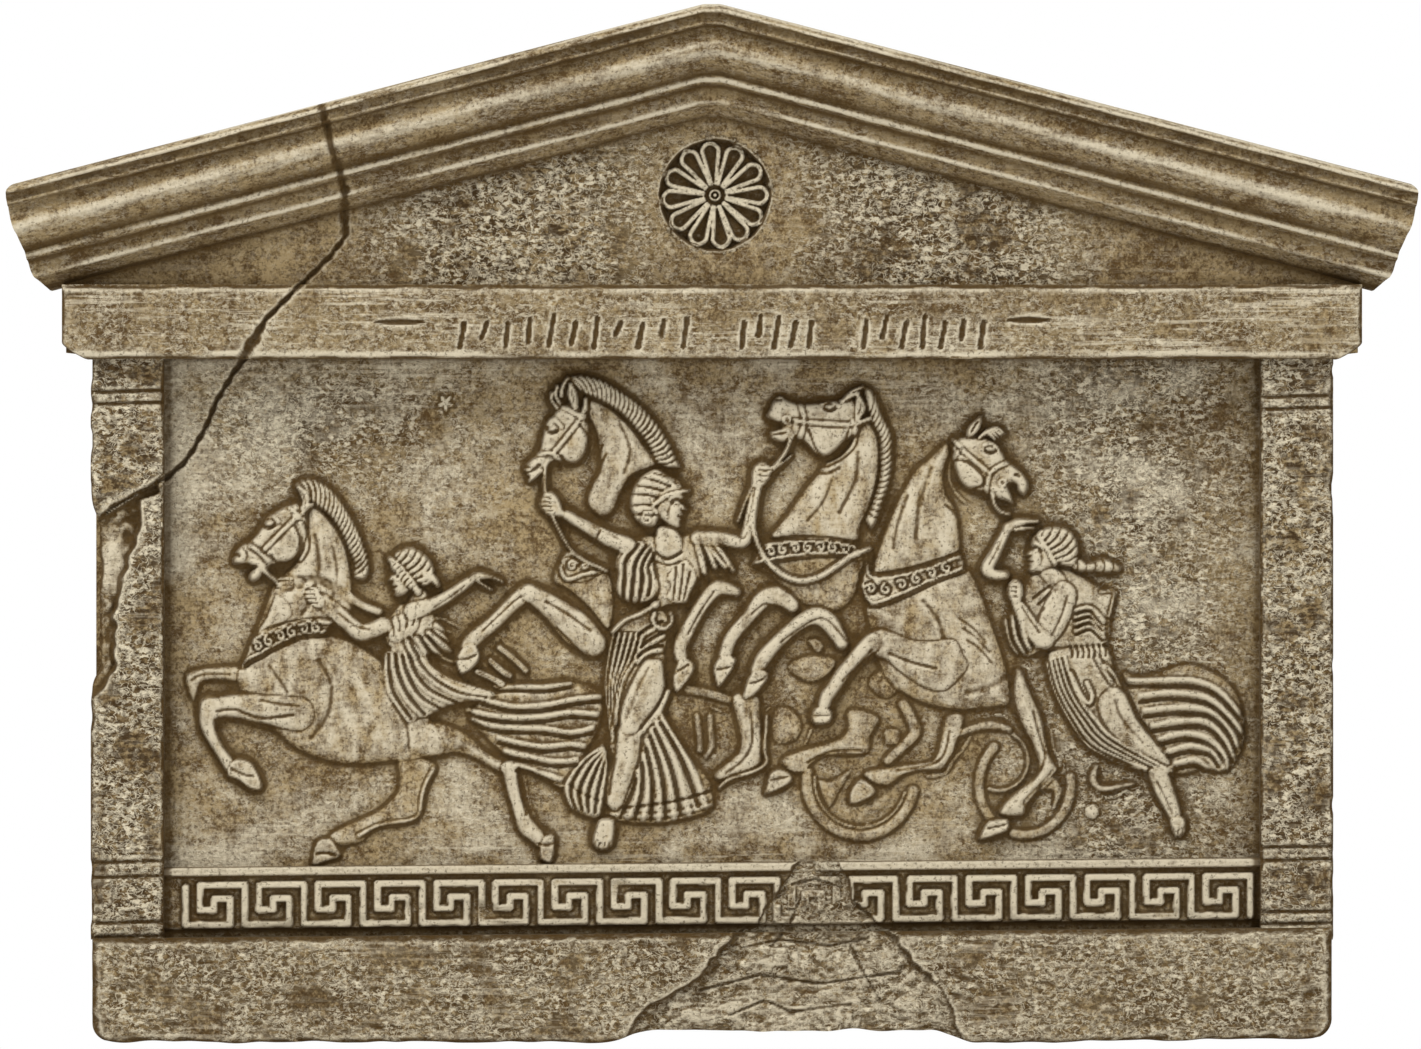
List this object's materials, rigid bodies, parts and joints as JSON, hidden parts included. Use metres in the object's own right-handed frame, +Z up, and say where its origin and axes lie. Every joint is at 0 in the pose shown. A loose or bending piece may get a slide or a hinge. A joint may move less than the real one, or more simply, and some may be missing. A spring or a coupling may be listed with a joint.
{
  "type": "wall relief",
  "caption": "Cast wall plaque shaped as a temple front: gabled cornice, rosette, sign row, a chariot and horses in relief, key band and plinth.",
  "frame": {"origin": "middle of the flat back, halfway up and halfway across, on the wall plane", "axes": "+X along the plaque's length, to the right as seen from the front; +Y out of the flat back, into the wall; +Z up"},
  "size_m": [0.34, 0.03, 0.2505],
  "materials": {
    "cast_stone": "matt cast plaster with a dark brown wash in the hollows and pale dry-brushed high parts"
  },
  "bodies": {
    "root": {"temple_relief": "cast_stone"}
  },
  "joints": []
}
